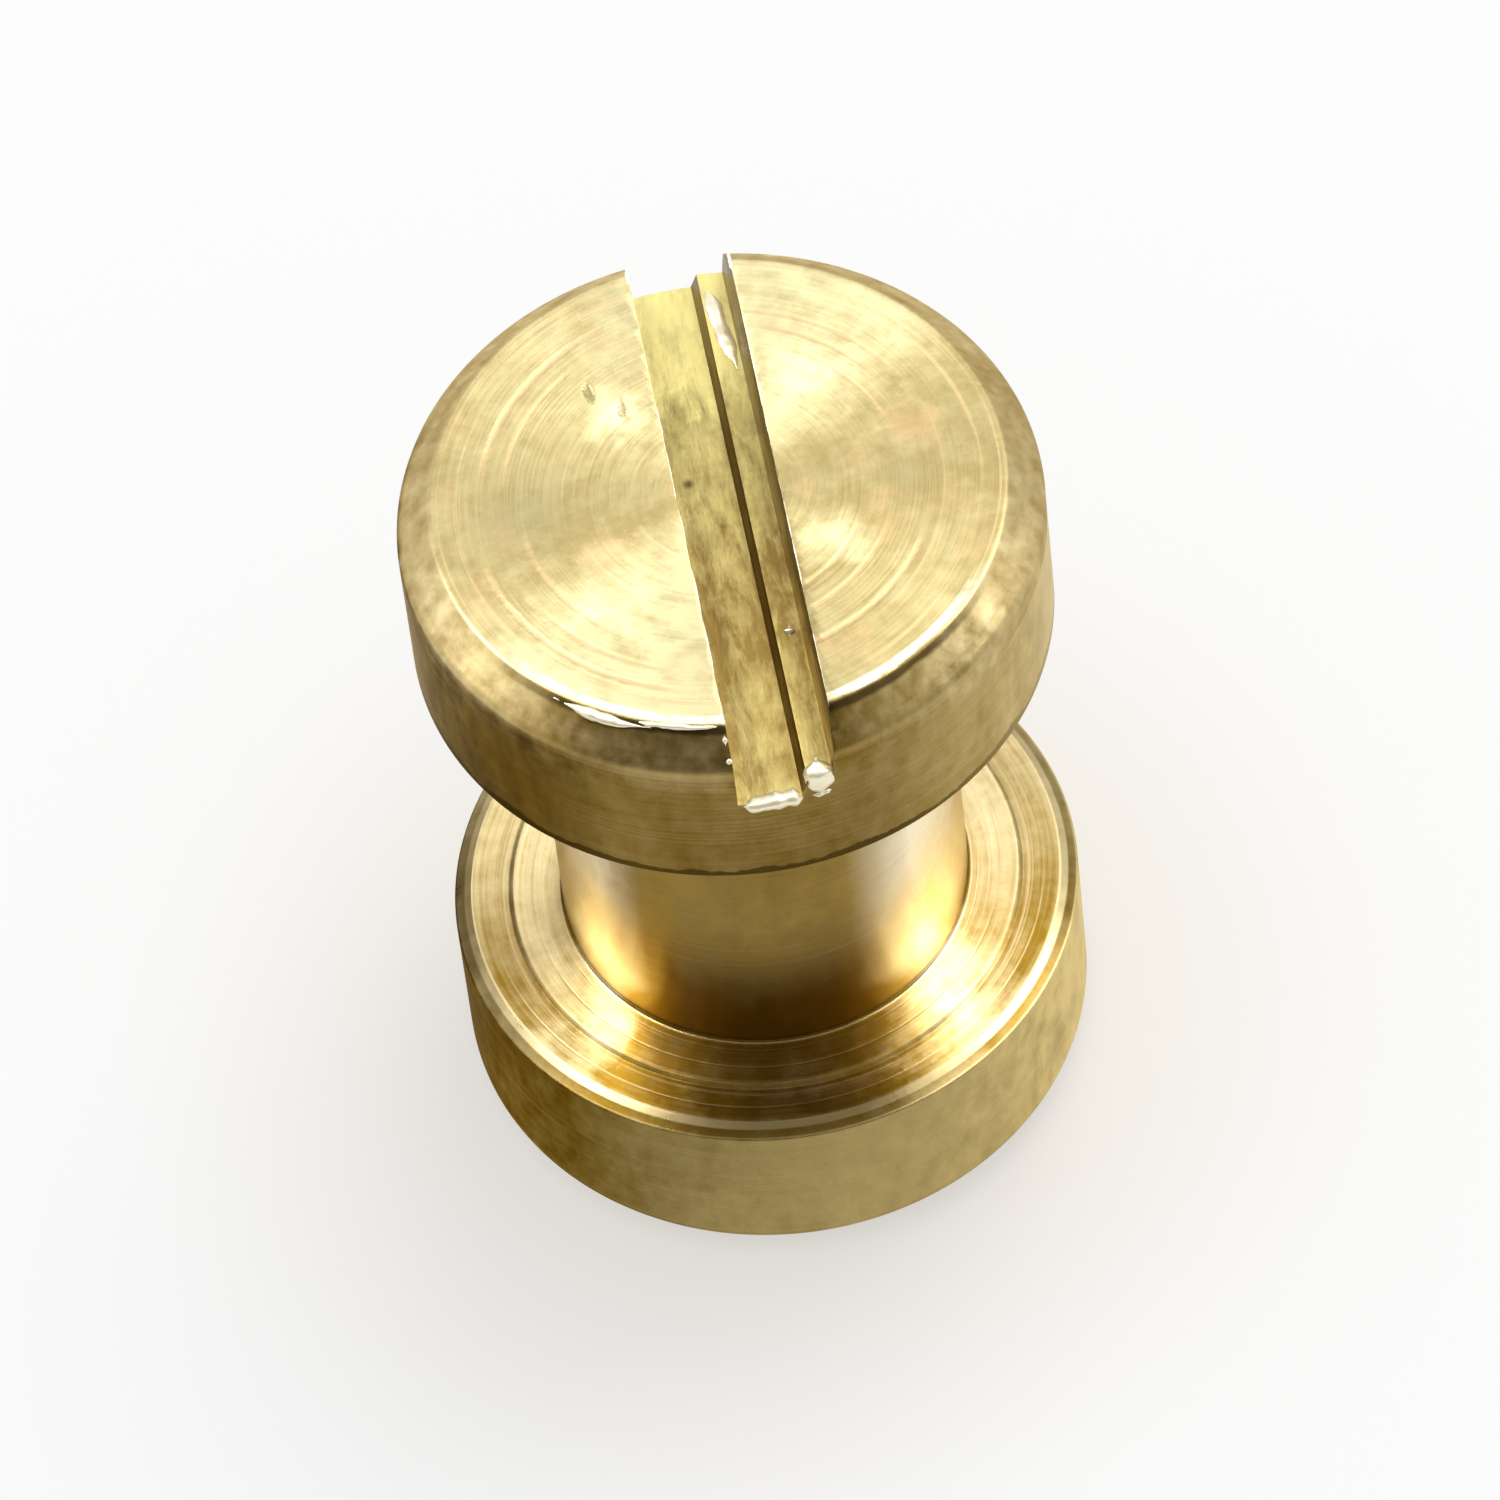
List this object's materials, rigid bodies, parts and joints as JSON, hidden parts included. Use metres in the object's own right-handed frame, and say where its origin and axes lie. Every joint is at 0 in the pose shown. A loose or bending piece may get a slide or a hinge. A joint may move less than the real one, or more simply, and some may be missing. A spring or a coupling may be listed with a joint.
{
  "type": "binding barrel screw",
  "caption": "Brass binding barrel screw: a round slotted-head screw threads into a tubular post with a plain round head, to clamp a stack of sheets between the heads.",
  "frame": {"origin": "centre of the plain head's outer face, on which the closed screw stands", "axes": "+Z along the screw's axis from the plain head to the slotted head, Y along the driver slot"},
  "size_m": [0.01, 0.01, 0.0138],
  "materials": {
    "turned_brass": "bare turned brass with fine turning lines"
  },
  "bodies": {
    "barrel": {"barrel_post": "turned_brass"},
    "screw": {"slotted_screw": "turned_brass"}
  },
  "joints": [
    {"name": "screw_draw", "type": "slide", "parent": "barrel", "child": "screw", "axis": [0, 0, 1], "range_m": [0, 0.008]}
  ]
}
